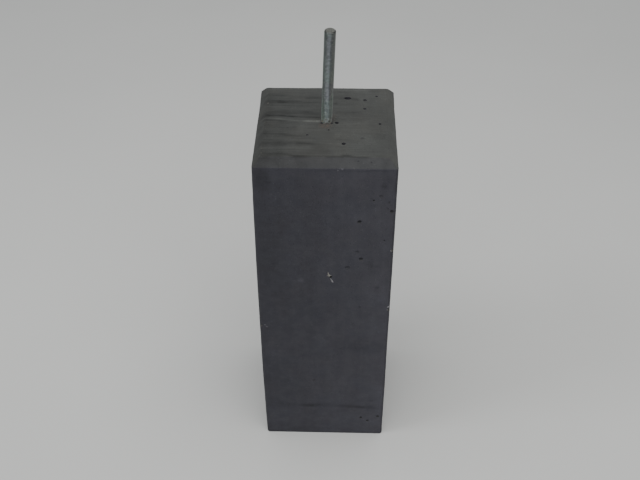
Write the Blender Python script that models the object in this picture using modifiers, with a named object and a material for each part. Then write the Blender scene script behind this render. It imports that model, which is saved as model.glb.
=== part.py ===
# Square cast concrete pier block with a threaded rod cast into its top.
# Metres, +Z up. The origin is the middle of the underside and the front looks along -Y.

import math

import bmesh
import bpy

# Concrete block
FOOT_SIDE = 0.206  # side of the square underside
HEAD_SIDE = 0.200  # side of the square where the top chamfer starts
BLOCK_HEIGHT = 0.600
TOP_CHAMFER = 0.012  # each leg of the chamfer round the top
ARRIS = 0.003  # broken edge of the four upright corners

# Threaded rod, M16 coarse
ROD_DIAMETER = 0.016  # over the crests of the thread
THREAD_PITCH = 0.002
THREAD_DEPTH = 0.0012
THREAD_SIDES = 12
ROD_LENGTH = 0.250
ROD_STANDING = 0.1425  # the length above the block, along the leaning axis
ROD_LEAN = math.radians(1.8)  # towards +X
ROD_END_CHAMFER = 0.0015

# The hole that the concrete leaves round the rod
SOCKET_CLEARANCE = 0.0003
SOCKET_SIDES = 24

# Blow holes are shallow round caps: insets are from the nearest sides, then width and depth
HOLE_SIDES = 8
HOLE_RINGS = 6
RIGHT, LEFT, BACK, FRONT = 1, -1, 1, -1
TOP_HOLES = (
    (RIGHT, 0.0700, BACK, 0.0390, 0.0065, 0.0018),
    (RIGHT, 0.0440, BACK, 0.0440, 0.0040, 0.0015),
    (RIGHT, 0.0265, BACK, 0.0325, 0.0045, 0.0016),
    (RIGHT, 0.0450, BACK, 0.0680, 0.0040, 0.0015),
    (RIGHT, 0.0235, FRONT, 0.0930, 0.0040, 0.0015),
    (RIGHT, 0.0965, FRONT, 0.0765, 0.0035, 0.0014),
    (LEFT, 0.0735, FRONT, 0.0630, 0.0035, 0.0014),
    (RIGHT, 0.0750, FRONT, 0.0430, 0.0060, 0.0020),
)
# On the front face: inset from the right side, then how far below the top
FRONT_HOLES_BELOW_TOP = (
    (0.0320, 0.0655, 0.0040, 0.0015),
    (0.0220, 0.0575, 0.0035, 0.0014),
    (0.0065, 0.0845, 0.0050, 0.0018),
    (0.0515, 0.1045, 0.0060, 0.0020),
    (0.0140, 0.1390, 0.0040, 0.0015),
    (0.0535, 0.1615, 0.0040, 0.0015),
    (0.0475, 0.1760, 0.0060, 0.0020),
    (0.0670, 0.1935, 0.0060, 0.0016),
    (0.0470, 0.2760, 0.0035, 0.0014),
    (0.0570, 0.3155, 0.0035, 0.0014),
    (0.0885, 0.3285, 0.0040, 0.0014),
)
# On the front face: inset from the right side, then how far above the underside
FRONT_HOLES_ABOVE_FOOT = (
    (0.0390, 0.0460, 0.0040, 0.0015),
    (0.0275, 0.0375, 0.0040, 0.0015),
    (0.0095, 0.0500, 0.0050, 0.0018),
)

WELD_DISTANCE = 0.00001
CUTTER_OVERRUN = 0.005  # how far a cutter runs past what it cuts


def new_collection(name, parent):
    collection = bpy.data.collections.new(name)
    parent.children.link(collection)
    return collection


def new_object(name, mesh, collection, parent=None):
    item = bpy.data.objects.new(name, mesh)
    collection.objects.link(item)
    item.parent = parent
    return item


def new_cutter(name, mesh, collection, parent=None):
    cutter = new_object(name, mesh, collection, parent)
    cutter.hide_render = True
    cutter.display_type = "WIRE"
    return cutter


def mesh_from(bm, name):
    mesh = bpy.data.meshes.new(name)
    bm.to_mesh(mesh)
    bm.free()
    return mesh


def finish(name, colour, roughness, metallic):
    material = bpy.data.materials.new(name)
    material.use_nodes = True
    shader = material.node_tree.nodes["Principled BSDF"]
    shader.inputs["Base Color"].default_value = (*colour, 1.0)
    shader.inputs["Roughness"].default_value = roughness
    shader.inputs["Metallic"].default_value = metallic
    return material


def half_side(height):
    """Half the block's side at a height: the drafted sides narrow evenly from foot to head."""
    share = height / (BLOCK_HEIGHT - TOP_CHAMFER)
    return (FOOT_SIDE + (HEAD_SIDE - FOOT_SIDE) * share) / 2


def drafted_box():
    """The block before its edges are broken, with each edge's share of the chamfer as its weight."""
    bm = bmesh.new()
    bmesh.ops.create_cube(bm, size=2.0)
    for vert in bm.verts:
        height = BLOCK_HEIGHT if vert.co.z > 0 else 0.0
        half = half_side(height)
        vert.co = (vert.co.x * half, vert.co.y * half, height)
    weights = bm.edges.layers.float.new("bevel_weight_edge")
    for edge in bm.edges:
        ends_at_top = [vert.co.z > BLOCK_HEIGHT / 2 for vert in edge.verts]
        if all(ends_at_top):
            edge[weights] = 1.0
        elif any(ends_at_top):
            edge[weights] = ARRIS / TOP_CHAMFER
    return mesh_from(bm, "concrete_block")


def hole_cutter(name, width, depth, collection):
    """A ball that sinks a round hollow of this width and depth when its middle is hole_rise above a face."""
    bm = bmesh.new()
    bmesh.ops.create_uvsphere(
        bm, u_segments=HOLE_SIDES, v_segments=HOLE_RINGS, radius=hole_radius(width, depth)
    )
    return new_cutter(name, mesh_from(bm, name), collection)


def hole_radius(width, depth):
    return (width**2 / 4 + depth**2) / (2 * depth)


def hole_rise(width, depth):
    return hole_radius(width, depth) - depth


def cut_top_holes(collection):
    for number, (side_x, in_x, side_y, in_y, width, depth) in enumerate(TOP_HOLES, 1):
        cutter = hole_cutter(f"top_hole_{number}", width, depth, collection)
        cutter.location = (
            side_x * (HEAD_SIDE / 2 - in_x),
            side_y * (HEAD_SIDE / 2 - in_y),
            BLOCK_HEIGHT + hole_rise(width, depth),
        )


def cut_front_holes(collection):
    holes = [(inset, BLOCK_HEIGHT - drop, width, depth) for inset, drop, width, depth in FRONT_HOLES_BELOW_TOP]
    holes += FRONT_HOLES_ABOVE_FOOT
    for number, (inset, height, width, depth) in enumerate(holes, 1):
        cutter = hole_cutter(f"front_hole_{number}", width, depth, collection)
        half = half_side(height)
        cutter.location = (half - inset, -half - hole_rise(width, depth), height)


def cut_socket(collection, rod_frame):
    """The round hole for the rod, wide enough across its flats to clear the thread."""
    radius = (ROD_DIAMETER / 2 + SOCKET_CLEARANCE) / math.cos(math.pi / SOCKET_SIDES)
    bottom = -(ROD_LENGTH - ROD_STANDING) - SOCKET_CLEARANCE
    bm = bmesh.new()
    bmesh.ops.create_cone(
        bm,
        cap_ends=True,
        segments=SOCKET_SIDES,
        radius1=radius,
        radius2=radius,
        depth=CUTTER_OVERRUN - bottom,
    )
    cutter = new_cutter("rod_socket", mesh_from(bm, "rod_socket"), collection, rod_frame)
    cutter.location.z = (CUTTER_OVERRUN + bottom) / 2


def concrete_block(parts, hollows, frame):
    block = new_object("concrete_block", drafted_box(), parts, frame)
    edges = block.modifiers.new("broken edges", "BEVEL")
    edges.limit_method = "WEIGHT"
    edges.offset_type = "OFFSET"
    edges.width = TOP_CHAMFER
    edges.segments = 1
    cut = block.modifiers.new("socket and blow holes", "BOOLEAN")
    cut.operation = "DIFFERENCE"
    cut.operand_type = "COLLECTION"
    cut.collection = hollows
    cut.solver = "EXACT"
    block.data.materials.append(finish("dark_concrete", (0.048, 0.050, 0.052), 0.85, 0.0))


def wound_thread(name):
    """One pitch of thread wound up past both ends of the rod, as an open ribbon about Z."""
    crest = ROD_DIAMETER / 2
    root = crest - THREAD_DEPTH
    profile = bpy.data.meshes.new(name)
    profile.from_pydata(
        [(root, 0, THREAD_PITCH), (crest, 0, THREAD_PITCH / 2), (root, 0, 0)],
        [(0, 1), (1, 2)],
        [],
    )
    ribbon = new_object(name, profile, bpy.context.scene.collection)
    winding = ribbon.modifiers.new("winding", "SCREW")
    winding.axis = "Z"
    winding.angle = math.tau
    winding.screw_offset = THREAD_PITCH
    winding.iterations = math.ceil(ROD_LENGTH / THREAD_PITCH) + 3
    winding.steps = THREAD_SIDES
    winding.render_steps = THREAD_SIDES
    turns = ribbon.modifiers.new("turns joined", "WELD")
    turns.merge_threshold = WELD_DISTANCE
    bpy.context.view_layer.update()
    wound = ribbon.evaluated_get(bpy.context.evaluated_depsgraph_get())
    mesh = bpy.data.meshes.new_from_object(wound)
    bpy.data.objects.remove(ribbon)
    bpy.data.meshes.remove(profile)
    return mesh


def thread_mesh(name):
    """The wound thread moved down to the rod's lower end and closed by a fan to the axis at each end."""
    bm = bmesh.new()
    bm.from_mesh(wound_thread(name))
    bottom = -(ROD_LENGTH - ROD_STANDING) - 2 * THREAD_PITCH
    bmesh.ops.translate(bm, verts=bm.verts, vec=(0, 0, bottom))
    heights = [vert.co.z for vert in bm.verts]
    lowest, highest = min(heights), max(heights)
    low_hub = bm.verts.new((0, 0, lowest))
    high_hub = bm.verts.new((0, 0, highest))
    for edge in [edge for edge in bm.edges if edge.is_boundary]:
        middle = (edge.verts[0].co.z + edge.verts[1].co.z) / 2
        hub = low_hub if middle < (lowest + highest) / 2 else high_hub
        bm.faces.new((*edge.verts, hub))
    bmesh.ops.recalc_face_normals(bm, faces=bm.faces)
    return mesh_from(bm, name)


def rod_blank(collection, rod_frame):
    """The rod's length with chamfered ends, a little wider than the thread, that the thread is trimmed to."""
    top = ROD_STANDING
    bottom = ROD_STANDING - ROD_LENGTH
    outer = ROD_DIAMETER / 2 + CUTTER_OVERRUN
    end = ROD_DIAMETER / 2 - ROD_END_CHAMFER
    slope = outer - end
    profile = bpy.data.meshes.new("rod_blank")
    profile.from_pydata(
        [
            (0, 0, top),
            (end, 0, top),
            (outer, 0, top - slope),
            (outer, 0, bottom + slope),
            (end, 0, bottom),
            (0, 0, bottom),
        ],
        [(0, 1), (1, 2), (2, 3), (3, 4), (4, 5)],
        [],
    )
    blank = new_cutter("rod_blank", profile, collection, rod_frame)
    turned = blank.modifiers.new("turned", "SCREW")
    turned.axis = "Z"
    turned.angle = math.tau
    turned.steps = SOCKET_SIDES
    turned.render_steps = SOCKET_SIDES
    turned.use_merge_vertices = True
    turned.merge_threshold = WELD_DISTANCE
    return blank


def threaded_rod(parts, cutters, rod_frame):
    rod = new_object("threaded_rod", thread_mesh("threaded_rod"), parts, rod_frame)
    trim = rod.modifiers.new("cut to length", "BOOLEAN")
    trim.operation = "INTERSECT"
    trim.object = rod_blank(cutters, rod_frame)
    trim.solver = "EXACT"
    rod.data.materials.append(finish("zinc_plate", (0.30, 0.32, 0.33), 0.38, 1.0))


def clear_scene():
    for item in list(bpy.data.objects):
        bpy.data.objects.remove(item)


def main():
    clear_scene()
    scene_root = bpy.context.scene.collection
    parts = new_collection("column_base_block", scene_root)
    cutters = new_collection("cutters", scene_root)
    hollows = new_collection("block_hollows", cutters)

    frame = new_object("block_frame", None, parts)
    rod_frame = new_object("rod_frame", None, parts, frame)
    rod_frame.location.z = BLOCK_HEIGHT
    rod_frame.rotation_euler.y = ROD_LEAN

    cut_socket(hollows, rod_frame)
    cut_top_holes(hollows)
    cut_front_holes(hollows)
    concrete_block(parts, hollows, frame)
    threaded_rod(parts, cutters, rod_frame)


main()
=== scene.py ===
# Dark cast concrete column base block with a zinc plated threaded rod standing out of its top.
# Metres, +Z up. The block's underside is on z = 0 and its front looks along -Y.
import math
import random

import bmesh
import bpy
from mathutils import Matrix, Vector


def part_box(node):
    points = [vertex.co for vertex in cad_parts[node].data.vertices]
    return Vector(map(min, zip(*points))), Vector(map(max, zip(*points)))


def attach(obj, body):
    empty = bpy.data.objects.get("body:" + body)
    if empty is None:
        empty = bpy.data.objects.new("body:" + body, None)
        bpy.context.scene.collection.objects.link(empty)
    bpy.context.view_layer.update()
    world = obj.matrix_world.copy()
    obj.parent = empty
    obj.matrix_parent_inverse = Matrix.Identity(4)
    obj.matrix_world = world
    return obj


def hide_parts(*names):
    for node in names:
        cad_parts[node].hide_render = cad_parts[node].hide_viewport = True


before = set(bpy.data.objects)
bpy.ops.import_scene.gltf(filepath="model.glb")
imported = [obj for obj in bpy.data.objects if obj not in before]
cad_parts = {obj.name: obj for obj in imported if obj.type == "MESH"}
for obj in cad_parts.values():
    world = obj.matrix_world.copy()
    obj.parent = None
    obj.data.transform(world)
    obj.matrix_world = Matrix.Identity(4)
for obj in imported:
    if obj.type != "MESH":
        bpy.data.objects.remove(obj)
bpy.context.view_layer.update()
blockLow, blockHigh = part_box("concrete_block")
mm = 0.001
print("frame loaded")


# Helpers for working on one piece at a time

def deselectAll():
    if bpy.context.object and bpy.context.object.mode != "OBJECT":
        bpy.ops.object.mode_set(mode="OBJECT")
    bpy.ops.object.select_all(action="DESELECT")


def makeActive(piece):
    deselectAll()
    piece.select_set(True)
    bpy.context.view_layer.objects.active = piece


def selectWhere(piece, kind, wanted):
    # kind is VERT, EDGE or FACE, wanted says yes or no for each; the piece is in edit mode afterwards
    if piece.mode != "EDIT":
        makeActive(piece)
        bpy.ops.object.mode_set(mode="EDIT")
    bpy.ops.mesh.select_mode(type=kind)
    bpy.ops.mesh.select_all(action="DESELECT")
    bm = bmesh.from_edit_mesh(piece.data)
    items = {"VERT": bm.verts, "EDGE": bm.edges, "FACE": bm.faces}[kind]
    for item in items:
        if wanted(item):
            item.select_set(True)
    bmesh.update_edit_mesh(piece.data)


def applyModifier(piece, modifier):
    makeActive(piece)
    bpy.ops.object.modifier_apply(modifier=modifier.name)


def applyPlace(piece):
    makeActive(piece)
    bpy.ops.object.transform_apply(location=True, rotation=True, scale=True)


def joinAll(pieces):
    deselectAll()
    for piece in pieces:
        piece.select_set(True)
    bpy.context.view_layer.objects.active = pieces[0]
    bpy.ops.object.join()
    return pieces[0]


def cutWith(piece, cutter, name, operation="DIFFERENCE"):
    # the cut faces keep the cutter's own material
    applyPlace(cutter)
    cut = piece.modifiers.new(name, "BOOLEAN")
    cut.operation = operation
    cut.object = cutter
    cut.material_mode = "TRANSFER"
    applyModifier(piece, cut)
    bpy.data.objects.remove(cutter)


def tooClose(ball, other):
    return max(ball.scale) + max(other.scale) - (ball.location - other.location).length > -mm


def cutApart(piece, balls, name):
    # balls that come near each other are cut in separate rounds, because a cutter mustn't cross itself
    while balls:
        apart, waiting = [], []
        for ball in balls:
            (waiting if any(tooClose(ball, other) for other in apart) else apart).append(ball)
        cutWith(piece, joinAll(apart), name)
        balls = waiting


def edgeAlong(edge, axis, shortest):
    # a long edge that runs mostly along one axis
    span = edge.verts[1].co - edge.verts[0].co
    return span.length > shortest and abs(span[axis]) > 0.98 * span.length


def storeOnPoints(piece, name, valueAt):
    layer = piece.data.attributes.new(name, "FLOAT", "POINT")
    for vert, item in zip(piece.data.vertices, layer.data):
        item.value = valueAt(vert)


# Helpers for node materials

def newMaterial(name):
    # the material, its shader and the place on the object that its patterns read
    material = bpy.data.materials.new(name)
    material.use_nodes = True
    nodes = material.node_tree.nodes
    return material, nodes["Principled BSDF"], nodes.new("ShaderNodeTexCoord").outputs["Object"]


def isOutput(value):
    return isinstance(value, bpy.types.NodeSocket)


def plugAll(node, values):
    # a value is another node's output, or a plain number, vector or colour without its alpha
    for name, value in values.items():
        socket = node.inputs[name]
        if isOutput(value):
            node.id_data.links.new(value, socket)
        elif socket.type == "RGBA":
            socket.default_value = (*value, 1.0)
        else:
            socket.default_value = value


def newNode(kind, values, **settings):
    # made in the tree of the first value that is another node's output
    tree = next(value.id_data for value in values.values() if isOutput(value))
    node = tree.nodes.new(kind)
    for name, setting in settings.items():
        setattr(node, name, setting)
    plugAll(node, values)
    return node


def mathNode(operation, first, second=0.0, clamp=False):
    node = newNode("ShaderNodeMath", {0: first, 1: second}, operation=operation, use_clamp=clamp)
    return node.outputs[0]


def chain(operation, values):
    total = values[0]
    for value in values[1:]:
        total = mathNode(operation, total, value)
    return total


def times(*values):
    return chain("MULTIPLY", values)


def plus(*values):
    return chain("ADD", values)


def minus(*values):
    return chain("SUBTRACT", values)


def rangeNode(value, low, high, toLow=0.0, toHigh=1.0, smooth=True):
    ends = {"From Min": low, "From Max": high, "To Min": toLow, "To Max": toHigh}
    easing = "SMOOTHSTEP" if smooth else "LINEAR"
    node = newNode("ShaderNodeMapRange", {"Value": value, **ends}, interpolation_type=easing)
    return node.outputs["Result"]


def mixColour(share, first, second, blend="MIX"):
    # 6, 7 and 2 are the sockets for colours
    values = {"Factor": share, 6: first, 7: second}
    return newNode("ShaderNodeMix", values, data_type="RGBA", blend_type=blend).outputs[2]


def tinted(colour, tint):
    return mixColour(1.0, colour, tint, "MULTIPLY")


def noiseNode(place, scale, detail=2.0, roughness=0.5, distortion=0.0, stretch=None):
    # stretch below 1 along an axis draws the noise out along it
    if stretch:
        place = newNode("ShaderNodeMapping", {"Vector": place, "Scale": stretch}).outputs[0]
    look = {"Scale": scale, "Detail": detail, "Roughness": roughness, "Distortion": distortion}
    return newNode("ShaderNodeTexNoise", {"Vector": place, **look}).outputs["Fac"]


def cellNode(place, scale):
    node = newNode("ShaderNodeTexVoronoi", {"Vector": place, "Scale": scale})
    return node.outputs["Distance"], node.outputs["Color"]


def splitVector(vector):
    return tuple(newNode("ShaderNodeSeparateXYZ", {0: vector}).outputs)


def rampNode(value, stops):
    node = newNode("ShaderNodeValToRGB", {"Fac": value})
    for place, colour in stops[1:-1]:
        node.color_ramp.elements.new(place)
    for element, (place, colour) in zip(node.color_ramp.elements, stops):
        element.position = place
        element.color = (*colour, 1.0)
    return node.outputs["Color"]


def bumpNode(height, strength, distance):
    values = {"Height": height, "Strength": strength, "Distance": distance}
    return newNode("ShaderNodeBump", values).outputs["Normal"]


def attributeNode(shader, name):
    node = shader.id_data.nodes.new("ShaderNodeAttribute")
    node.attribute_name = name
    return node.outputs["Fac"]


# Camera, floor and light

viewPlan = {
    "place": (0.018, -1.035, 1.278),
    "turnLeft": 1.55,  # degrees
    "lookDown": 41.18,
    "roll": 0.19,
    "lens": 48.0,
    "sensor": 36.0,
    "floorSide": 14.0,
    "floorColour": (0.62, 0.62, 0.60),
    "skyColour": (0.94, 0.97, 1.0),
    "skyStrength": 0.50,
    "topLight": {"place": (0.15, -0.6, 2.8), "size": 2.8, "power": 58.0, "colour": (1.0, 0.99, 0.97)},
    "sideLight": {"place": (-1.8, -0.6, 2.5), "size": 0.7, "power": 15.0, "colour": (0.94, 0.96, 1.0)},
    "frontLight": {"place": (0.5, -2.9, 0.9), "size": 2.2, "power": 10.0, "colour": (0.88, 0.91, 1.0)},
}


def makeCamera(plan):
    bpy.ops.object.camera_add()
    camera = bpy.context.object
    camera.name = "photoCamera"
    camera.data.lens = plan["lens"]
    camera.data.sensor_width = plan["sensor"]
    turn = Matrix.Rotation(math.radians(plan["turnLeft"]), 4, "Z")
    tilt = Matrix.Rotation(math.radians(90 - plan["lookDown"]), 4, "X")
    roll = Matrix.Rotation(math.radians(-plan["roll"]), 4, "Z")
    camera.matrix_world = Matrix.Translation(plan["place"]) @ turn @ tilt @ roll
    bpy.context.scene.camera = camera


def floorMaterial(colour):
    # clouded from a little darker to a little paler than its colour
    material, shader, place = newMaterial("paleFloor")
    cloud = noiseNode(place, 1.3, 3.0, 0.55)
    tone = rampNode(cloud, [(0.3, [c * 0.97 for c in colour]), (0.7, [c * 1.02 for c in colour])])
    plugAll(shader, {"Base Color": tone, "Roughness": 0.9, "Specular IOR Level": 0.2})
    return material


def makeFloor(plan):
    deselectAll()
    bpy.ops.mesh.primitive_plane_add(size=plan["floorSide"], location=(0, 0, 0))
    floor = bpy.context.object
    floor.name = "paleFloor"
    floor.data.materials.append(floorMaterial(plan["floorColour"]))


def makeLight(name, plan, aim):
    bpy.ops.object.light_add(type="AREA", location=plan["place"])
    lamp = bpy.context.object
    lamp.name = name
    lamp.data.shape = "SQUARE"
    lamp.data.size = plan["size"]
    lamp.data.energy = plan["power"]
    lamp.data.color = plan["colour"]
    lamp.rotation_euler = (Vector(aim) - Vector(plan["place"])).to_track_quat("-Z", "Y").to_euler()


def makeStudio(plan):
    makeCamera(plan)
    makeFloor(plan)
    for name in ("topLight", "sideLight", "frontLight"):
        makeLight(name, plan[name], (0, 0, blockHigh.z / 2))
    world = bpy.data.worlds.new("softRoom")
    world.use_nodes = True
    sky = world.node_tree.nodes["Background"]
    plugAll(sky, {"Color": plan["skyColour"], "Strength": plan["skyStrength"]})
    bpy.context.scene.world = world


makeStudio(viewPlan)
print("camera, floor and lights made")


# Cast concrete block

blockPlan = {
    "headSide": 0.200,  # where the top chamfer starts
    "chamfer": 0.012,
    "arris": 0.003,
    "softEdge": 0.0008,
    "cell": 0.0034,  # the grid on the faces, which is halved on the top and again round the rod
    "slopeCuts": 4,
    "rodPatch": 0.022,
    "waveHeight": 0.0011,
    "waveLength": 0.16,
    "rippleHeight": 0.0004,
    "rippleLength": 0.018,
    "trowelHeight": 0.0007,
    "trowelLength": 0.011,
    "trowelStretch": 7.0,
    "stillFoot": 0.020,  # the waves fade out over this height, so that the foot stays flat
    "bowFoot": 0.00025,  # how far the left side swells outward at the foot, at the head and between
    "bowHead": 0.0008,
    "bowBelly": 0.0021,
    "backStart": 0.045,  # behind this the head is fuller, up to its back corners
    "backRise": 0.12,  # and this far below the chamfer it starts to widen
    "backWiden": 0.0010,
    "backPush": 0.0014,
    "hipLift": 0.0012,  # at the back corners of the chamfer
    "hipFade": (0.07, 0.092),
    "socketRadius": 0.0072,  # inside the thread's crests, so that the concrete grips the rod
    "socketFloor": 0.0003,
    "socketSides": 48,
    "sideHoles": 20,
    "sideWidths": (2.0, 6.0),  # the widths, margins, span and gap of holes and nicks are in millimetres
    "tinyHoles": 16,
    "tinyWidths": (0.9, 1.6),
    "fineFrom": 4.0,  # holes as wide as this are cut with a finer ball
    "holeMargin": 18,
    "holeSpan": (14, 580),
    "holeGap": 2.5,
    "holeJitter": 0.06,
    "chipJitter": 0.16,
    "nicks": 34,
    "nickMargins": (8, 26),  # up from the foot and down from the top
    "nickSink": 0.12,  # as a share of the arris
    "arrisNicks": (0.6, 1.7),
    "rimNicks": (0.5, 1.3),
    "seed": 7,
}

# Blow holes seen on the top: x, y, width along x, width along y and depth in millimetres
topHoles = [
    (30.2, 61, 10.9, 6.9, 5), (56, 56.3, 5.7, 5.2, 2.6), (73.5, 67.6, 4.1, 3.9, 2.6),
    (55.3, 32.2, 4.9, 4.6, 2.3), (76.5, -6.8, 4.2, 4, 2.6), (3.5, -23.6, 2.7, 2.6, 2.2),
    (-26.4, -36.8, 3.6, 3.1, 1.9), (24.8, -57, 6, 5.4, 4.3), (50.9, -43, 4.5, 3.8, 1.2),
    (87.4, -67.4, 2.3, 2, 0.6), (14.7, -5.3, 6, 5.3, 6), (7.9, -6.9, 3.8, 3.4, 2.8),
    (-6.9, -6.4, 4.6, 3.4, 2.4),
]

# Blow holes seen on the front: x, z, width along x, width along z and depth in millimetres
frontHoles = [
    (68.3, 534.7, 3.6, 3.3, 1.8), (94.2, 515.3, 6.2, 5.7, 2), (49.2, 495.6, 6.5, 6, 2.1),
    (86.4, 461.2, 3.3, 3, 1.5), (47.3, 438.4, 6.4, 5.4, 1), (53.5, 424.2, 6.8, 6.2, 2),
    (33.9, 406.5, 9.2, 6.4, 1.2), (78.4, 542.3, 6.6, 5.6, 1), (89.9, 531.9, 2.8, 2.6, 1.2),
    (88.9, 519.9, 2.3, 2.3, 0.8), (88.9, 484.9, 1.5, 1.4, 1), (54.7, 566.8, 1.3, 1.2, 0.7),
    (65.6, 525.2, 1.5, 1.4, 0.8), (64, 46, 5.2, 4.2, 3.2), (75.5, 37.4, 5.2, 4.7, 2.6),
    (93.2, 50, 5.3, 4.7, 3.4), (54.3, 323.8, 4.4, 4, 0.7), (44.6, 284.3, 4.8, 4.1, 0.9),
    (12.9, 271.3, 4.6, 3.8, 0.6), (-18.2, 145.9, 4.8, 4.2, 0.9), (-85.3, 282.4, 3, 2.8, 0.8),
    (-89.1, 209.5, 3.6, 3.2, 0.8), (8.8, 386.6, 4.2, 3.8, 3.8),
]

# Blow holes on the chamfer's front slope: x, distance up the slope, two widths and depth in millimetres
slopeHoles = [(45, 10.6, 3, 2.6, 0.6), (63, 9.4, 2.8, 2.5, 0.8)]

seenHoles = [("top", *hole) for hole in topHoles] + [("front", *hole) for hole in frontHoles]

# The rod's foot and the main spall, kept clear of scattered holes: side, place and width in millimetres
keptClear = [("top", 0, 0, 26), ("front", 8.5, 386, 22)]

# Pale spalls on the front: x, z, width, height, depth in millimetres, lean in degrees and kind of mortar
paleSpalls = [
    (5, 393.1, 2, 7.6, 1.1, -6, "cream"), (6.6, 389.8, 3.4, 4.6, 1.1, -15, "cream"),
    (6.4, 389.2, 8.6, 1.7, 0.7, 0, "cream"), (10.3, 379.6, 2.4, 9.8, 1, -25, "white"),
    (-95.4, 279.6, 4, 3.4, 0.6, 20, "ash"), (-92.6, 275, 4.2, 3.8, 0.7, 0, "ash"),
]

# Bruises seen on the edges: x, y, z and size in millimetres and kind of mortar
edgeBruises = [
    (99.6, -99.9, 441, 5, "grey"), (97.8, -100.7, 441.5, 3.6, "white"),
    (-101.6, -101.4, 277, 3.6, "grey"), (98.6, -101, 324, 3.8, "white"),
    (99.8, -100.8, 317.5, 4.4, "grey"), (97.6, -101.8, 318, 2.2, "white"),
    (23.4, -100.3, 588.6, 3.4, "ash"), (17.6, -100.4, 586.2, 3.2, "ash"),
]

# Cement skin heaped round the rod's foot: x, y, reach and rise in millimetres
collarLumps = [
    (-9.5, 1.5, 6, 0.9), (-4, 9.5, 6, 0.7), (5.5, 9.5, 5, 0.5), (10, 3, 5, 0.6),
    (10, -9.5, 4, 0.5), (1, -9.5, 5, 0.8), (-12, -5, 5, 0.5), (5, -13, 4, 0.4),
]

sideOutward = {"front": (0, -1), "right": (1, 0), "back": (0, 1), "left": (-1, 0)}
shoulder = blockHigh.z - blockPlan["chamfer"]


def halfSide(plan, height):
    # the drafted sides narrow evenly from the foot to the shoulder, where the chamfer starts
    foot = (blockHigh.x - blockLow.x) / 2
    return foot + (plan["headSide"] / 2 - foot) * height / shoulder


def bowAt(plan, height):
    # how far the left side swells outward at a height
    share = min(max(height / shoulder, 0.0), 1.0)
    tilt = plan["bowFoot"] + (plan["bowHead"] - plan["bowFoot"]) * share
    return tilt + plan["bowBelly"] * math.sin(math.pi * share)


def onBlock(plan, side, across, along):
    # a point and the way in: on the top at x and y, on the front slope at x and a distance up it, or on a
    # side at a place across it and a height
    if side == "top":
        return Vector((across, along, blockHigh.z)), Vector((0, 0, -1))
    if side == "slope":
        rise = along / math.sqrt(2)
        point = Vector((across, rise - halfSide(plan, shoulder), shoulder + rise))
        return point, Vector((0, 1, -1)).normalized()
    outX, outY = sideOutward[side]
    reach = halfSide(plan, along) + (bowAt(plan, along) if side == "left" else 0.0)
    point = Vector((outX * reach - outY * across, outY * reach + outX * across, along))
    return point, Vector((-outX, -outY, 0))


def blockBlank(plan):
    height = blockHigh.z
    foot = halfSide(plan, 0)
    deselectAll()
    bpy.ops.mesh.primitive_cube_add(size=1, location=(0, 0, height / 2), scale=(2 * foot, 2 * foot, height))
    block = bpy.context.object
    block.name = "cast_block"
    applyPlace(block)
    narrow = halfSide(plan, height) / foot
    selectWhere(block, "FACE", lambda face: face.normal.z > 0.9)
    bpy.ops.transform.resize(value=(narrow, narrow, 1))
    bpy.ops.object.mode_set(mode="OBJECT")
    return block


def breakEdges(block, plan):
    # the wide chamfer round the top and the narrow arrises meet in one bevel, shared out by weight
    middle = blockHigh.z / 2
    selectWhere(block, "EDGE", lambda edge: all(v.co.z > middle for v in edge.verts))
    bpy.ops.transform.edge_bevelweight(value=1.0)
    selectWhere(block, "EDGE", lambda edge: edgeAlong(edge, 2, middle))
    bpy.ops.transform.edge_bevelweight(value=plan["arris"] / plan["chamfer"])
    bpy.ops.object.mode_set(mode="OBJECT")
    bevel = block.modifiers.new("chamfer", "BEVEL")
    bevel.limit_method = "WEIGHT"
    bevel.width = plan["chamfer"]
    bevel.segments = 1
    applyModifier(block, bevel)
    soft = block.modifiers.new("softEdges", "BEVEL")
    soft.limit_method = "ANGLE"
    soft.angle_limit = math.radians(20)
    soft.width = plan["softEdge"]
    soft.segments = 2
    applyModifier(block, soft)


def gridFaces(block, plan):
    # long edges are cut into equal cells, one direction after the other
    cell = plan["cell"]
    for axis, length in ((2, blockHigh.z), (0, plan["headSide"]), (1, plan["headSide"])):
        selectWhere(block, "EDGE", lambda edge: edgeAlong(edge, axis, length * 0.8))
        bpy.ops.mesh.subdivide(number_cuts=round(length / cell) - 1)
    slopeLow, slopeHigh = blockHigh.z - plan["chamfer"] * 0.9, blockHigh.z - plan["chamfer"] * 0.1
    levels = lambda edge: sorted(v.co.z for v in edge.verts)
    selectWhere(block, "EDGE", lambda edge: levels(edge)[0] < slopeLow and levels(edge)[1] > slopeHigh)
    bpy.ops.mesh.subdivide(number_cuts=plan["slopeCuts"])
    selectWhere(block, "FACE", lambda face: face.normal.z > 0.98 and len(face.verts) == 4)
    bpy.ops.mesh.subdivide(number_cuts=1)
    nearRod = lambda face: face.calc_center_median().xy.length < plan["rodPatch"]
    selectWhere(block, "FACE", lambda face: face.normal.z > 0.98 and nearRod(face))
    bpy.ops.mesh.subdivide(number_cuts=1)
    bpy.ops.object.mode_set(mode="OBJECT")


def displaceBy(piece, name, height, length, group, guide=None):
    clouds = bpy.data.textures.new(name, "CLOUDS")
    clouds.noise_scale = length
    clouds.noise_depth = 2
    modifier = piece.modifiers.new(name, "DISPLACE")
    modifier.texture = clouds
    modifier.strength = height
    modifier.mid_level = 0.5
    modifier.vertex_group = group
    if guide:
        modifier.texture_coords = "OBJECT"
        modifier.texture_coords_object = guide
    applyModifier(piece, modifier)


def groupBy(piece, name, weightAt):
    group = piece.vertex_groups.new(name=name)
    for vert in piece.data.vertices:
        weight = weightAt(vert.co)
        if weight > 0:
            group.add([vert.index], min(weight, 1.0), "REPLACE")
    return name


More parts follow.
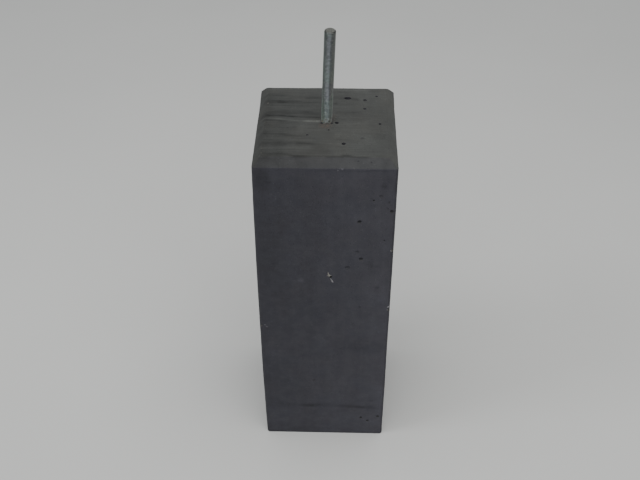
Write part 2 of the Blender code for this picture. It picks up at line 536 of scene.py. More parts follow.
def pushAlong(piece, name, axis, distance, weightAt):
    push = piece.modifiers.new(name, "DISPLACE")
    push.direction = axis
    push.strength = distance
    push.mid_level = 0
    push.vertex_group = groupBy(piece, name, weightAt)
    applyModifier(piece, push)


def easeIn(value, low, high):
    share = min(max((value - low) / (high - low), 0.0), 1.0)
    return share * share * (3 - 2 * share)


def settleForm(block, plan):
    # the mould wasn't true: the left side is bowed, and the head is fuller at its back corners
    reach = plan["headSide"] / 2
    mostBow = plan["bowHead"] + plan["bowBelly"]
    widens = lambda co: easeIn(co.z, shoulder - plan["backRise"], shoulder)
    back = lambda co: easeIn(co.y, plan["backStart"], reach * 0.95) * widens(co)
    corner = lambda co: easeIn(co.y, *plan["hipFade"]) * easeIn(abs(co.x), *plan["hipFade"])
    slope = lambda co: math.sin(math.pi * min(max((co.z - shoulder) / plan["chamfer"], 0.0), 1.0))
    pushAlong(block, "bow", "X", -mostBow, lambda co: bowAt(plan, co.z) / mostBow * max(-co.x, 0.0) / reach)
    pushAlong(block, "backLeft", "X", -plan["backWiden"], lambda co: back(co) * max(-co.x, 0.0) / reach)
    pushAlong(block, "backRight", "X", plan["backWiden"], lambda co: back(co) * max(co.x, 0.0) / reach)
    pushAlong(block, "backEdge", "Y", plan["backPush"], back)
    pushAlong(block, "hips", "Z", plan["hipLift"], lambda co: corner(co) * slope(co))


def waveFaces(block, plan):
    # slow waves from the mould, small ripples everywhere and trowel marks along x on the top
    aboveFoot = groupBy(block, "aboveFoot", lambda co: co.z / plan["stillFoot"])
    displaceBy(block, "slowWaves", plan["waveHeight"], plan["waveLength"], aboveFoot)
    displaceBy(block, "ripples", plan["rippleHeight"], plan["rippleLength"], aboveFoot)
    topOnly = groupBy(block, "topOnly", lambda co: 1.0 if co.z > blockHigh.z - 2 * mm else 0.0)
    bpy.ops.object.empty_add(location=(0, 0, 0))
    guide = bpy.context.object
    guide.scale = (plan["trowelStretch"], 1.0, 1.0)
    bpy.context.view_layer.update()
    displaceBy(block, "trowelMarks", plan["trowelHeight"], plan["trowelLength"], topOnly, guide)
    bpy.data.objects.remove(guide)


def heapCollar(block):
    # soft upward pulls on the refined patch, with proportional editing
    for x, y, reach, rise in collarLumps:
        spot = Vector((x * mm, y * mm))
        atSpot = lambda v: v.co.z > blockHigh.z - 3 * mm and (v.co.xy - spot).length < 1.2 * mm
        selectWhere(block, "VERT", atSpot)
        bpy.ops.transform.translate(
            value=(0, 0, rise * mm),
            use_proportional_edit=True,
            proportional_edit_falloff="SMOOTH",
            proportional_size=reach * mm,
        )
    bpy.ops.object.mode_set(mode="OBJECT")


def roughBall(place, sizes, turn, jitter, roll, material, rounds=2):
    # a dented ball, which sinks a hollow into a face or knocks a chip off an edge
    deselectAll()
    bpy.ops.mesh.primitive_ico_sphere_add(subdivisions=rounds, radius=1)
    ball = bpy.context.object
    for vert in ball.data.vertices:
        vert.co *= 1 + roll.uniform(-jitter, jitter)
    ball.scale = sizes
    ball.rotation_euler = turn
    ball.location = place
    ball.data.materials.append(material)
    return ball


def scatterHoles(plan, roll):
    # blow holes on the sides that the lists leave out, and tiny ones everywhere, clear of each other
    taken = [hole[:4] for hole in seenHoles] + keptClear
    reach = halfSide(plan, blockHigh.z) / mm - plan["holeMargin"]
    low, high = plan["holeSpan"]
    made = []

    def isClear(side, across, along, width):
        for other, otherAcross, otherAlong, otherWidth in taken:
            away = math.hypot(across - otherAcross, along - otherAlong)
            if other == side and away <= (width + otherWidth) / 2 + plan["holeGap"]:
                return False
        return True

    def scatterOn(side, count, widths, lean):
        # a lean below 1 draws the holes towards the head
        placed = 0
        while placed < count:
            across = roll.uniform(-reach, reach)
            if side == "top":
                along = roll.uniform(-reach, reach)
            else:
                along = low + (high - low) * roll.random() ** lean
            width = roll.uniform(*widths) * roll.uniform(0.6, 1.0)
            if isClear(side, across, along, width):
                height = width * roll.uniform(0.75, 1.0)
                depth = width * roll.uniform(0.4, 0.7)
                taken.append((side, across, along, width))
                made.append((side, across, along, width, height, depth))
                placed += 1

    for side in ("right", "back", "left"):
        scatterOn(side, plan["sideHoles"], plan["sideWidths"], 0.6)
    for side in ("top", "front", "right", "back", "left"):
        scatterOn(side, plan["tinyHoles"], plan["tinyWidths"], 0.9)
    return made


def cutHoles(block, plan, roll, material):
    holes = seenHoles + [("slope", *hole) for hole in slopeHoles] + scatterHoles(plan, roll)
    balls = []
    for side, across, along, width, height, depth in holes:
        place, inward = onBlock(plan, side, across * mm, along * mm)
        sizes = (width / 2 * mm, height / 2 * mm, depth * mm)
        turn = inward.to_track_quat("Z", "Y").to_euler()
        rounds = 2 if width < plan["fineFrom"] else 3
        balls.append(roughBall(place, sizes, turn, plan["holeJitter"], roll, material, rounds))
    cutApart(block, balls, "blowHoles")


def cutEdges(block, plan, roll, mortars):
    # the bruises that show, then small nicks up the four arrises and along the chamfer
    chips = []
    lowest, fromTop = plan["nickMargins"]

    def addChip(place, sizes, turn, kind):
        chips.append(roughBall(place, sizes, turn, plan["chipJitter"], roll, mortars[kind]))

    for x, y, z, size, kind in edgeBruises:
        radius = size / 2 * mm
        addChip(Vector((x, y, z)) * mm, (radius, radius, radius * 1.3), (0, 0, roll.uniform(0, 3)), kind)
    for nick in range(plan["nicks"]):
        height = roll.uniform(lowest * mm, blockHigh.z - fromTop * mm)
        corner = halfSide(plan, height) - plan["arris"] * plan["nickSink"]
        signX, signY = roll.choice((-1, 1)), roll.choice((-1, 1))
        bow = bowAt(plan, height) if signX < 0 else 0.0
        radius = roll.uniform(*plan["arrisNicks"]) * mm
        sizes = (radius, radius, radius * roll.uniform(1.0, 2.6))
        addChip((signX * (corner + bow), signY * corner, height), sizes, (0, 0, 0), "grey")
    for nick in range(plan["nicks"] // 2):
        high = roll.random() < 0.5
        level = blockHigh.z + 0.2 * mm if high else shoulder
        reach = halfSide(plan, level) - (plan["chamfer"] if high else -0.2 * mm)
        along = roll.uniform(-reach, reach) * 0.92
        outX, outY = roll.choice(list(sideOutward.values()))
        place = (outX * reach - outY * along, outY * reach + outX * along, level)
        radius = roll.uniform(*plan["rimNicks"]) * mm
        turn = [roll.uniform(0, math.tau) for axis in range(3)]
        addChip(place, (radius * 1.6, radius * 1.6, radius), turn, "grey")
    cutApart(block, chips, "chips")


def cutSpalls(block, plan, roll, mortars):
    chips = []
    for x, z, width, height, depth, lean, kind in paleSpalls:
        place = onBlock(plan, "front", x * mm, z * mm)[0]
        sizes = (width / 2 * mm, depth * mm, height / 2 * mm)
        turn = (0, math.radians(lean), 0)
        chips.append(roughBall(place, sizes, turn, plan["chipJitter"], roll, mortars[kind]))
    cutApart(block, chips, "spalls")


def cutSocket(block, plan, foot, head, material):
    axis = (head - foot).normalized()
    start = foot - axis * plan["socketFloor"]
    end = foot + axis * (blockHigh.z - foot.z + 20 * mm)
    deselectAll()
    bpy.ops.mesh.primitive_cylinder_add(
        vertices=plan["socketSides"],
        radius=plan["socketRadius"],
        depth=(end - start).length,
    )
    socket = bpy.context.object
    socket.rotation_euler = axis.to_track_quat("Z", "Y").to_euler()
    socket.location = (start + end) / 2
    socket.data.materials.append(material)
    cutWith(block, socket, "socket")


def sunkDepth(plan, co):
    # how far a point lies in from the nearest face of the plain drafted and chamfered form
    side = halfSide(plan, co.z)
    widest = max(co.x, -co.x - bowAt(plan, co.z), abs(co.y))
    fromSlope = (halfSide(plan, shoulder) + shoulder - widest - co.z) / math.sqrt(2)
    return min(blockHigh.z - co.z, side - widest, fromSlope)


def markDepth(block, plan):
    # only points inside a hole or chip count, so that the waves of the faces stay out of it
    cast = set()
    for face in block.data.polygons:
        if face.material_index == 0:
            cast.update(face.vertices)
    depthAt = lambda vert: 0.0 if vert.index in cast else max(sunkDepth(plan, vert.co), 0.0) / mm
    storeOnPoints(block, "sunk", depthAt)


# The dry concrete's own colours and its dirt, and how much paler or darker its chamfers, right front arris
# and holes are painted as light and shade
concretePlan = {
    "topColour": (0.0470, 0.0483, 0.0452),  # trowelled
    "sideColour": (0.0436, 0.0427, 0.0515),  # cast against the mould
    "roughness": (0.74, 0.92),
    "frontFade": (-0.0985, -0.0995),  # the front's stains and painted light and shade come in between these two places in y
    "sideTones": (0.80, 1.08),  # each pair is for the left edge and the right
    "slopeLightTones": (0.15, 0.21),  # painted light: how much paler the chamfers at the left and at the right are
    "frontSlopeShadeTones": (0.04, 0.12),  # painted shade: how much darker the front one is
    "arrisShadeTone": 0.80,  # painted shade on the right front arris
    # painted shade deep in the blow holes and the socket
    "holeShadeTone": 0.52,
    "tideHeight": 0.079,
    "tideDrift": 0.022,
    "tideWidth": 0.0046,
    "limeColour": (0.115, 0.116, 0.100),
    "limeShare": 0.30,
    "limeSmear": (-20.0, -1.5, 16.0, 4.0),  # x, y and the reach along both in millimetres, as for the rust
    "rustColour": (0.114, 0.071, 0.053),
    "rustShare": 0.34,
    "frontRust": (-1.5, -12.5, 11.0, 9.0),
    "sideRust": (10.0, 9.0, 4.0, 12.0),
}

# Streaks on the top: from x, to x, y at the left end, y at the right end and half width in millimetres, and
# the share by which each darkens, where a minus sign makes it paler. Most are trowel streaks and stains, but
# the pale lines near y 0 are a painted highlight along a low ridge, the dark ones behind it at y 8 to 13 are
# painted shade, and the dark line near y -87 at the chamfer's upper edge is painted shadow
topStreaksAndShade = [
    (-93, -62, 50, 49.8, 4.4, 0.48), (-70, -45, 49.8, 49.2, 4, 0.38), (-50, -10, 49.4, 47.8, 4, 0.22),
    (-93, -62, 68.5, 68, 3, 0.24), (-32, -7, 61, 61.5, 3.6, 0.34), (8, 26, 61.8, 61.5, 4.2, 0.32),
    (34, 48, 60.5, 57, 4, 0.26), (12, 36, 78.5, 78, 2.6, 0.16), (-82, -22, 22, 22.5, 4, 0.22),
    (10, 48, 22.5, 21.5, 4, 0.26), (-95, -8, 17, 18.5, 5.5, 0.18), (-95, -62, 13, 12.4, 3, 0.42),
    (-66, -48, 11.4, 10.2, 2.2, 0.3), (-56, -7, 9.4, 8.4, 2, 0.4), (-93, -66, 5.2, 3.6, 1.5, -0.4),
    (-70, -44, 3.2, 0, 1.5, -0.4), (-48, -24, 0, -1.6, 1.8, -0.44), (-30, -7, -1.6, -2.4, 2.2, -0.7),
    (-92, -60, -0.8, -1.8, 1.8, 0.34), (-40, -6, -17, -19, 15, -0.22), (-90, -56, -34.6, -35.6, 3.4, 0.22),
    (-60, -30, -37, -39.6, 3, 0.22), (-92, -52, -58, -58.6, 5.5, 0.26), (-54, -16, -56.6, -57.6, 3.4, 0.34),
    (-92, -20, -69, -68, 3, -0.14), (-92, -60, -87, -84, 4, 0.18), (-62, -46, -82, -84, 3, 0.2),
    (-47, -27, -86.4, -87, 2.5, 0.5), (-27, 6, -87, -87.4, 1.6, 0.24), (4, 60, -87.6, -88, 1.2, 0.44),
    (22, 36, -84.8, -85.4, 2.6, 0.42), (-90, -48, -83, -84.6, 3.2, 0.14), (12, 36, -46.8, -47.4, 3, 0.18),
    (12, 32, 32, 32, 3.6, 0.09), (7, 15, 45.5, 45.5, 2.6, 0.38), (66, 92, -38, -44, 9, 0.06),
    (74, 96, 0, -6, 14, 0.12), (-97, -80, 0, 0, 70, 0.13), (4, 96, 34, 34, 50, -0.06),
    (-97, -58, -40, -40, 70, 0.12), (-97, -62, -80, -80, 18, 0.1), (8, 60, -10, -10, 75, -0.1),
    (10, 40, -3, -3, 9, -0.08), (12, 40, -37, -37, 6, -0.08), (34, 50, 22.6, 22.6, 2, 0.24),
    (34, 50, 5.5, 5.5, 1.5, 0.2), (74, 96, -42, -46, 20, 0.09), (-90, 62, 86, 86, 10, -0.26),
    (60, 96, 66, 66, 10, -0.08), (-103, 103, -96, -96, 6, 0.05), (-42, 8, -76, -76, 8, 0.12),
    (-103, 103, -74, -74, 14, 0.05), (-30, 60, 90, 90, 3, -0.1), (-15, -8, -3, -3.6, 2.4, -0.45),
    (7, 13, -6, -6, 2.2, -0.35),
]

# Stains on the front, given in the same way with z for y. The dark lines at z 586 to 588, along the
# chamfer's lower edge, are painted shadow, and the broad paler bands low down are painted light that
# brightens the front towards its foot
frontStainsAndShade = [
    (-45, -6, 78.5, 79, 5, 0.24), (-34, -18, 77, 77, 3.6, 0.18), (-10, 46, 79.5, 77.5, 5, 0.22),
    (42, 88, 77.4, 74, 5, 0.28), (52, 70, 75.5, 75, 3.2, 0.16), (-98, -46, 84, 80, 6.5, 0.11),
    (-98, -76, 570, 568, 14, 0.26), (14, 96, 232, 230, 19, 0.13), (58, 97, 360, 352, 20, -0.1),
    (-97, 97, 40, 40, 26, -0.06), (-30, 60, 572, 572, 20, -0.07), (78, 86, 560.7, 560.7, 4, 0.34),
    (64, 72, 411, 411, 7, 0.16), (76, 83, 366.3, 366.3, 3.6, 0.3), (78, 84, 93.8, 93.8, 2.8, 0.24),
    (-41, -32, 377.3, 377.3, 4.5, -0.55), (-97, 97, 588, 588, 2.4, 0.06), (-20, 98, 585.6, 585.6, 1.8, 0.16),
    (74, 92, 574, 574, 9, 0.08), (60, 97, 425, 425, 18, 0.1), (-97, -70, 430, 430, 60, 0.08),
    (-97, -60, 215, 215, 26, -0.08), (20, 97, 510, 505, 22, -0.05), (-103, 103, 60, 60, 150, -0.1),
]


def makeBandGroup():
    # one band of stain, painted shade or painted highlight: full along its length, fading out at both ends
    # and to both sides
    group = bpy.data.node_groups.new("bandStain", "ShaderNodeTree")
    for name in ("Along", "Across", "From", "To", "Fade", "Centre", "Slope", "Width", "Strength"):
        group.interface.new_socket(name=name, in_out="INPUT", socket_type="NodeSocketFloat")
    group.interface.new_socket(name="Stain", in_out="OUTPUT", socket_type="NodeSocketFloat")
    given = group.nodes.new("NodeGroupInput").outputs
    edges = []
    for end in ("From", "To"):
        before = minus(given[end], given["Fade"])
        after = plus(given[end], given["Fade"])
        edges.append(rangeNode(given["Along"], before, after))
    inside = minus(edges[0], edges[1])
    run = minus(given["Along"], given["From"])
    middle = plus(given["Centre"], times(run, given["Slope"]))
    away = mathNode("DIVIDE", minus(given["Across"], middle), given["Width"])
    bell = mathNode("EXPONENT", times(away, away, -1.0))
    stain = times(inside, bell, given["Strength"])
    plugAll(group.nodes.new("NodeGroupOutput"), {"Stain": stain})
    return group


bandGroup = makeBandGroup()


def bandStainsAndShade(along, across, bands):
    stainsAndShade = []
    for start, end, startAcross, endAcross, width, strength in bands:
        fade = min(7.0, (end - start) * 0.3)
        slope = (endAcross - startAcross) / (end - start)
        band = {"Along": along, "From": start * mm, "To": end * mm, "Fade": fade * mm, "Strength": strength}
        band |= {"Across": across, "Centre": startAcross * mm, "Slope": slope, "Width": width * mm}
        stainsAndShade.append(newNode("ShaderNodeGroup", band, node_tree=bandGroup).outputs[0])
    return plus(*stainsAndShade)


def around(value, spread):
    # turns a noise of about 0.5 into a tone of about 1
    return rangeNode(value, 0.25, 0.75, 1 - spread, 1 + spread, smooth=False)


def leftToRight(x, tones):
    # from the first tone at the head's left edge to the second at its right
    edge = blockPlan["headSide"] / 2
    return rangeNode(x, -edge, edge, *tones, smooth=False)


def nearSpot(along, across, spotX, spotY, reachX, reachY):
    # 1 in the middle of an oval patch, fading to nothing at its edge; sizes in millimetres
    dx = mathNode("DIVIDE", minus(along, spotX * mm), reachX * mm)
    dy = mathNode("DIVIDE", minus(across, spotY * mm), reachY * mm)
    away = mathNode("SQRT", plus(times(dx, dx), times(dy, dy)))
    return rangeNode(away, 0.45, 1.15, 1.0, 0.0)


def concreteTone(place, x, y, z, onTop, onFront, plan):
    # all that makes the concrete lighter or darker, as one factor
    wobble = minus(noiseNode(place, 45.0, 3.0, stretch=(0.5, 1, 1)), 0.5)
    acrossTop = plus(y, times(wobble, 3 * mm))
    acrossFront = plus(z, times(wobble, 9 * mm))
    patches = noiseNode(place, 150.0, 4.0, 0.6, stretch=(0.25, 1, 1))
    breakUp = rangeNode(patches, 0.3, 0.7, 0.55, 1.3)
    onHead = rangeNode(z, blockHigh.z - 12 * mm, blockHigh.z - 10 * mm)
    topDark = times(bandStainsAndShade(x, acrossTop, topStreaksAndShade), onHead)
    frontDark = times(bandStainsAndShade(x, acrossFront, frontStainsAndShade), onFront)
    stainsAndShade = times(plus(topDark, frontDark), breakUp)
    leftHalf = rangeNode(x, 0.0, -0.05, 0.35, 1.0)
    trowel = noiseNode(place, 240.0, 4.0, 0.65, stretch=(0.06, 1, 1))
    trowelTone = times(minus(trowel, 0.5), times(leftHalf, onTop, 0.9))
    lines = noiseNode(place, 620.0, 2.0, 0.6, stretch=(0.03, 1, 1))
    lineTone = times(minus(lines, 0.5), onTop, 0.45)
    runs = noiseNode(place, 95.0, 4.0, 0.6, stretch=(1, 1, 0.06))
    offTop = minus(1.0, onTop)
    tones = [
        leftToRight(x, plan["sideTones"]),
        around(noiseNode(place, 8.0, 3.0, 0.55, 0.4), 0.07),
        around(noiseNode(place, 34.0, 5.0, 0.62), 0.07),
        around(noiseNode(place, 650.0, 3.0, 0.7), 0.10),
        plus(1.0, plus(trowelTone, lineTone)),
        plus(1.0, times(minus(runs, 0.5), offTop, 0.26)),
        mathNode("MAXIMUM", minus(1.0, stainsAndShade), 0.3),
        minus(1.0, nearTide(place, z, onFront, plan)),
    ]
    return times(*tones)


def nearTide(place, z, onFront, plan):
    # the wavy dirty line above the foot goes on round the other sides, broken up and fainter
    drift = minus(noiseNode(place, 14.0, 3.0), 0.5)
    level = plus(minus(z, plan["tideHeight"]), times(drift, plan["tideDrift"]))
    away = mathNode("DIVIDE", level, plan["tideWidth"])
    bell = mathNode("EXPONENT", times(away, away, -1.0))
    patchy = rangeNode(noiseNode(place, 22.0, 2.0), 0.42, 0.68, 0.0, 0.2)
    return times(bell, patchy, minus(1.0, onFront))


def concreteMaterial(name, plan, inside=False):
    material, shader, place = newMaterial(name)
    x, y, z = splitVector(place)
    faceX, faceY, faceZ = splitVector(shader.id_data.nodes.new("ShaderNodeNewGeometry").outputs["Normal"])
    onTop = rangeNode(z, blockHigh.z - 4 * mm, blockHigh.z - 1.5 * mm)
    onFront = rangeNode(y, *plan["frontFade"])
    frontSlope = rangeNode(faceY, -0.45, -0.68)
    upward = rangeNode(faceZ, 0.30, 0.72)
    topSide = mathNode("SUBTRACT", upward, times(frontSlope, 0.34), clamp=True)
    sideways = rangeNode(mathNode("ABSOLUTE", faceX), 0.4, 0.65)
    sideSlope = times(sideways, rangeNode(faceZ, 0.4, 0.65))
    # painted light: the chamfers facing left and right are made paler
    paler = times(sideSlope, leftToRight(x, plan["slopeLightTones"]))
    # painted shade: the front chamfer is made darker
    darker = times(frontSlope, topSide, leftToRight(x, plan["frontSlopeShadeTones"]))
    grain = noiseNode(place, 650.0, 3.0, 0.7)
    sand = noiseNode(place, 1900.0, 2.0, 0.6)
    specks, speckColour = cellNode(place, 520.0)
    speckPick = splitVector(speckColour)[0]
    speckSpot = rangeNode(specks, 0.5, 0.25)
    paleSpeck = times(rangeNode(speckPick, 0.93, 0.95), speckSpot)
    darkSpeck = times(rangeNode(speckPick, 0.09, 0.07), speckSpot)
    pores, poreColour = cellNode(place, 210.0)
    poreHere = rangeNode(splitVector(poreColour)[1], 0.80, 0.82)
    pore = times(rangeNode(pores, 0.16, 0.08), poreHere)
    tones = [
        concreteTone(place, x, y, z, onTop, onFront, plan),
        minus(1.0, times(pore, 0.45)),
        plus(1.0, times(paleSpeck, 0.35)),
        minus(1.0, times(darkSpeck, 0.25)),
        plus(1.0, paler),
        minus(1.0, darker),
        # painted shade on faces turned right and to the front, along the right front arris
        rangeNode(times(faceX, faceY, -1.0), 0.15, 0.40, 1.0, plan["arrisShadeTone"]),
    ]
    # painted shade: the deeper a point lies in a blow hole or the socket, the darker it is
    if inside:
        tones.append(rangeNode(attributeNode(shader, "sunk"), 0.1, 2.2, 0.95, plan["holeShadeTone"]))
    colour = mixColour(topSide, plan["sideColour"], plan["topColour"])
    blotch = rangeNode(noiseNode(place, 19.0, 3.0), 0.35, 0.65)
    tint = rampNode(blotch, [(0.0, (1.01, 0.995, 0.985)), (1.0, (0.99, 1.0, 1.01))])
    colour = tinted(tinted(colour, tint), times(*tones))
    smear = times(nearSpot(x, y, *plan["limeSmear"]), onTop, rangeNode(grain, 0.35, 0.6))
    colour = mixColour(times(smear, plan["limeShare"]), colour, plan["limeColour"])
    sideRust = times(nearSpot(x, y, *plan["sideRust"]), 0.35)
    rustSpots = mathNode("MAXIMUM", nearSpot(x, y, *plan["frontRust"]), sideRust)
    rustNoise = rangeNode(noiseNode(place, 420.0, 4.0, 0.65), 0.38, 0.60)
    rust = times(rustSpots, rustNoise, onTop, plan["rustShare"])
    colour = mixColour(rust, colour, plan["rustColour"])
    rough = rangeNode(noiseNode(place, 60.0, 4.0, 0.6), 0.3, 0.7, *plan["roughness"])
    scratch = noiseNode(place, 700.0, 3.0, 0.6, stretch=(0.05, 1, 1))
    relief = minus(plus(grain, times(sand, 0.5)), times(pore, 1.6))
    bump = bumpNode(plus(relief, times(scratch, onTop, 0.8)), 0.35, 0.0005)
    plugAll(shader, {"Base Color": colour, "Roughness": rough})
    plugAll(shader, {"Specular IOR Level": 0.35, "Normal": bump})
    return material


# Broken mortar: its pale colour, its dark colour and how fine its stones are
mortarPlan = {
    "grey": ((0.098, 0.094, 0.084), (0.052, 0.051, 0.049), 480.0),
    "cream": ((0.318, 0.306, 0.270), (0.165, 0.158, 0.140), 700.0),
    "white": ((0.285, 0.276, 0.285), (0.165, 0.160, 0.162), 700.0),
    "ash": ((0.106, 0.103, 0.114), (0.064, 0.063, 0.071), 700.0),
}


def brokenMaterial(name, pale, dark, coarse):
    # fresh break: sandy mortar with small stones in it
    material, shader, place = newMaterial(name)
    sand = noiseNode(place, 1100.0, 4.0, 0.7)
    stones, stoneColour = cellNode(place, coarse)
    mixed = plus(times(sand, 0.6), times(splitVector(stoneColour)[0], 0.4))
    colour = rampNode(mixed, [(0.25, dark), (0.65, pale)])
    bump = bumpNode(minus(sand, times(stones, 0.8)), 0.6, 0.0006)
    plugAll(shader, {"Base Color": colour, "Roughness": 0.92})
    plugAll(shader, {"Specular IOR Level": 0.3, "Normal": bump})
    return material


def makeBlock(plan, rodFoot, rodHead):
    roll = random.Random(plan["seed"])
    block = blockBlank(plan)
    breakEdges(block, plan)
    gridFaces(block, plan)
    block.data.materials.append(concreteMaterial("castConcrete", concretePlan))
    print("block shaped:", len(block.data.polygons), "faces")
    settleForm(block, plan)
    waveFaces(block, plan)
    heapCollar(block)
    print("block surface worked")
    shadedHoleMaterial = concreteMaterial("holeShadedConcrete", concretePlan, inside=True)
    mortars = {kind: brokenMaterial(kind + "Mortar", *look) for kind, look in mortarPlan.items()}
    cutSocket(block, plan, rodFoot, rodHead, shadedHoleMaterial)
    cutEdges(block, plan, roll, mortars)
    cutSpalls(block, plan, roll, mortars)
    cutHoles(block, plan, roll, shadedHoleMaterial)
    markDepth(block, plan)
    makeActive(block)
    bpy.ops.object.shade_smooth_by_angle(angle=math.radians(40))
    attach(block, "root")
    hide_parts("concrete_block")
    print("block finished:", len(block.data.polygons), "faces")


# Zinc plated threaded rod

rodPlan = {
    "radius": 0.0080,
    "pitch": 0.0020,
    "depth": 0.00123,
    "rootFlat": 0.00030,
    "flank": 0.00071,
    "crestFlat": 0.00028,
    "turnSteps": 36,
    "endChamfer": 0.0015,
    "blankGap": 0.00004,
    "weldGap": 0.00001,
    "spareTurns": 2,
    "slab": 0.020,  # ten turns, over which the solid's middle is taken
    "sawnDark": (0.082, 0.084, 0.076),
    "sawnPale": (0.180, 0.184, 0.166),
    "zinc": (0.275, 0.300, 0.318),
    "oxide": (0.385, 0.415, 0.425),
    "grime": (0.050, 0.050, 0.046),
    "rust": (0.150, 0.070, 0.038),
    "cement": (0.170, 0.168, 0.156),
}


def rodEnds(plan):
    # the solid's axis, from the middle of its lowest and highest turns, and where it starts and stops
    points = [vert.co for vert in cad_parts["threaded_rod"].data.vertices]
    lowest, highest = min(p.z for p in points), max(p.z for p in points)
    middles = []
    for start in (lowest + plan["slab"], highest - 2 * plan["slab"]):
        slab = [p for p in points if start <= p.z < start + plan["slab"]]
        middles.append(sum(slab, Vector()) / len(slab))
    axis = (middles[1] - middles[0]).normalized()
    runs = [(p - middles[0]).dot(axis) for p in points]
    return middles[0] + axis * min(runs), middles[0] + axis * max(runs)


def windThread(plan, length):
    # one pitch of thread, drawn downward from a single point, then wound up the rod
    root = plan["radius"] - plan["depth"]
    bottom = -plan["spareTurns"] * plan["pitch"]
    deselectAll()
    bpy.ops.mesh.primitive_plane_add(size=plan["pitch"], location=(root, 0, bottom))
    rod = bpy.context.object
    rod.name = "zinc_studding"
    applyPlace(rod)
    bpy.ops.object.mode_set(mode="EDIT")
    bpy.ops.mesh.select_all(action="SELECT")
    bpy.ops.mesh.merge(type="CENTER")
    for outward, run in ((0, "rootFlat"), (1, "flank"), (0, "crestFlat"), (-1, "flank")):
        step = (outward * plan["depth"], 0, -plan[run])
        bpy.ops.mesh.extrude_region_move(TRANSFORM_OT_translate={"value": step})
    bpy.ops.object.mode_set(mode="OBJECT")
    winding = rod.modifiers.new("winding", "SCREW")
    winding.axis = "Z"
    winding.angle = math.tau
    winding.screw_offset = plan["pitch"]
    winding.iterations = math.ceil(length / plan["pitch"]) + 2 * plan["spareTurns"]
    winding.steps = plan["turnSteps"]
    winding.render_steps = plan["turnSteps"]
    applyModifier(rod, winding)
    turns = rod.modifiers.new("turns", "WELD")
    turns.merge_threshold = plan["weldGap"]
    applyModifier(rod, turns)
    return rod


def trimEnds(rod, plan, length):
    # sawn square at both ends, with a chamfer that runs the thread out
    makeActive(rod)
    bpy.ops.object.mode_set(mode="EDIT")
    for height, side in ((0, {"clear_inner": True}), (length, {"clear_outer": True})):
        bpy.ops.mesh.select_all(action="SELECT")
        bpy.ops.mesh.bisect(plane_co=(0, 0, height), plane_no=(0, 0, 1), use_fill=True, **side)
    bpy.ops.mesh.select_all(action="SELECT")
    bpy.ops.mesh.normals_make_consistent(inside=False)
    bpy.ops.object.mode_set(mode="OBJECT")
    gap = plan["blankGap"]
    deselectAll()
    bpy.ops.mesh.primitive_cylinder_add(
        vertices=2 * plan["turnSteps"],
        radius=plan["radius"] + gap,
        depth=length + 2 * gap,
        location=(0, 0, length / 2),
    )
    blank = bpy.context.object
    applyPlace(blank)
    edges = blank.modifiers.new("endChamfer", "BEVEL")
    edges.limit_method = "ANGLE"
    edges.angle_limit = math.radians(60)
    edges.width = plan["endChamfer"]
    edges.segments = 1
    applyModifier(blank, edges)
    cutWith(rod, blank, "endChamfers", "INTERSECT")


# Painted light round the rod, from its -X side through the front to its +X side: darker on the -X side,
# a painted highlight just left of the front, painted shade to the right of it and a paler painted
# reflection at the +X rim
paintedSheenStops = [
    (0.00, (0.55, 0.58, 0.51)), (0.12, (0.57, 0.60, 0.53)), (0.27, (0.82, 0.85, 0.81)),
    (0.42, (1.00, 1.00, 0.98)), (0.54, (0.98, 1.00, 0.99)), (0.64, (0.55, 0.56, 0.54)),
    (0.80, (0.54, 0.53, 0.47)), (0.96, (0.68, 0.66, 0.59)),
]


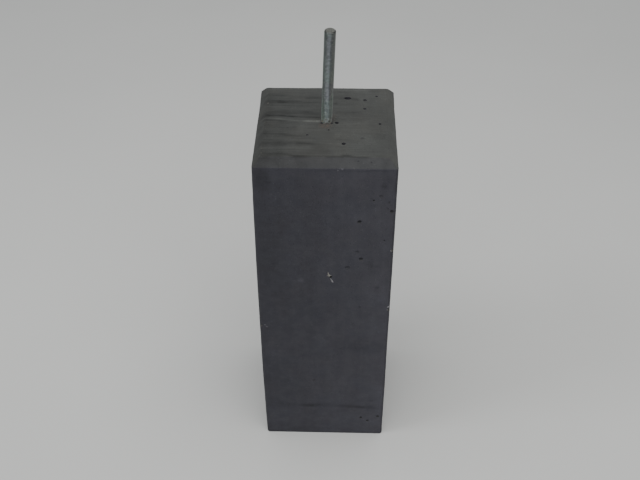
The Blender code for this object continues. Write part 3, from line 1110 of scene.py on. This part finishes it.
def zincMaterial(plan):
    # standing and fromEnd are millimetres above the block and below the rod's end
    material, shader, place = newMaterial("zincPlate")
    standing = attributeNode(shader, "standing")
    clouds = noiseNode(place, 330.0, 4.0, 0.62, stretch=(0.7, 0.7, 1))
    fine = noiseNode(place, 900.0, 3.0, 0.6)
    colour = mixColour(rangeNode(clouds, 0.38, 0.64), plan["zinc"], plan["oxide"])
    # painted highlight and shade round the rod, the highlight reaching a little further right near the foot
    turned = minus(attributeNode(shader, "sideways"), rangeNode(standing, 5.0, 75.0, 0.07, 0.0))
    uneven = times(minus(noiseNode(place, 90.0, 3.0, 0.6), 0.5), 0.22)
    colour = tinted(colour, rampNode(plus(turned, uneven), paintedSheenStops))
    # painted highlight: the rod is paler near the block
    colour = tinted(colour, rangeNode(standing, 20.0, 65.0, 1.16, 1.0))
    hue = rangeNode(noiseNode(place, 55.0, 2.0), 0.35, 0.65)
    colour = tinted(colour, rampNode(hue, [(0.0, (0.95, 1.0, 0.97)), (1.0, (1.0, 0.96, 1.0))]))
    ending = rangeNode(attributeNode(shader, "fromEnd"), 1.0, 4.0, 0.78, 0.0)
    colour = mixColour(ending, colour, plan["grime"])
    bloom = rangeNode(noiseNode(place, 210.0, 4.0, 0.65), 0.54, 0.70)
    valley = rangeNode(attributeNode(shader, "crest"), 0.0, 0.55, 0.78, 0.0)
    valley = times(valley, rangeNode(fine, 0.25, 0.6, 0.6, 1.0))
    colour = mixColour(valley, colour, plan["grime"])
    ragged = plus(standing, times(minus(clouds, 0.5), 26.0))
    rustPatches = rangeNode(noiseNode(place, 420.0, 4.0, 0.65), 0.45, 0.6)
    rustHere = times(rangeNode(ragged, 1.0, 10.0, 1.0, 0.0), rustPatches)
    colour = mixColour(times(rustHere, 0.75), colour, plan["rust"])
    caked = times(rangeNode(standing, 0.5, 5.0, 1.0, 0.0), rangeNode(bloom, 0.1, 0.6))
    colour = mixColour(times(caked, 0.85), colour, plan["cement"])
    dirt = mathNode("MAXIMUM", mathNode("MAXIMUM", rustHere, caked), times(valley, 0.6))
    metal = minus(0.96, times(dirt, 0.8))
    cleanRough = rangeNode(clouds, 0.35, 0.7, 0.28, 0.44)
    rough = mathNode("ADD", cleanRough, times(dirt, 0.3), clamp=True)
    bump = bumpNode(plus(fine, times(bloom, 0.6)), 0.25, 0.0002)
    plugAll(shader, {"Base Color": colour, "Metallic": metal, "Roughness": rough, "Normal": bump})
    return material


def sawnMaterial(plan):
    # the cut end has dulled to grey, with fine saw lines across it
    material, shader, place = newMaterial("sawnEnd")
    lines = noiseNode(place, 1500.0, 2.0, stretch=(1, 0.04, 1))
    cloud = noiseNode(place, 260.0, 4.0, 0.6)
    mixed = plus(times(lines, 0.5), times(cloud, 0.5))
    colour = rampNode(mixed, [(0.35, plan["sawnDark"]), (0.65, plan["sawnPale"])])
    bump = bumpNode(lines, 0.4, 0.0002)
    plugAll(shader, {"Base Color": colour, "Metallic": 0.6, "Roughness": 0.62, "Normal": bump})
    return material


def straightOut(point, foot, axis):
    # the direction from the rod's axis to a point
    out = point - foot
    return (out - axis * out.dot(axis)).normalized()


def makeRod(plan, foot, head):
    length = (head - foot).length
    axis = (head - foot).normalized()
    rod = windThread(plan, length)
    print("thread wound:", len(rod.data.polygons), "faces")
    rod.data.materials.append(zincMaterial(plan))
    trimEnds(rod, plan, length)
    root = plan["radius"] - plan["depth"]
    buried = (blockHigh.z - foot.z) / axis.z
    storeOnPoints(rod, "crest", lambda vert: (vert.co.xy.length - root) / plan["depth"])
    storeOnPoints(rod, "standing", lambda vert: (vert.co.z - buried) / mm)
    storeOnPoints(rod, "fromEnd", lambda vert: (length - vert.co.z) / mm)
    rod.data.materials.append(sawnMaterial(plan))
    for face in rod.data.polygons:
        if abs(face.normal.z) > 0.99 and face.center.xy.length < root:
            face.material_index = len(rod.data.materials) - 1
    rod.rotation_euler = axis.to_track_quat("Z", "Y").to_euler()
    rod.location = foot
    applyPlace(rod)
    storeOnPoints(rod, "sideways", lambda vert: 0.5 + 0.5 * straightOut(vert.co, foot, axis).x)
    makeActive(rod)
    bpy.ops.object.shade_smooth_by_angle(angle=math.radians(30))
    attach(rod, "root")
    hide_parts("threaded_rod")
    print("rod finished:", len(rod.data.polygons), "faces")


rodFoot, rodHead = rodEnds(rodPlan)
makeBlock(blockPlan, rodFoot, rodHead)
makeRod(rodPlan, rodFoot, rodHead)
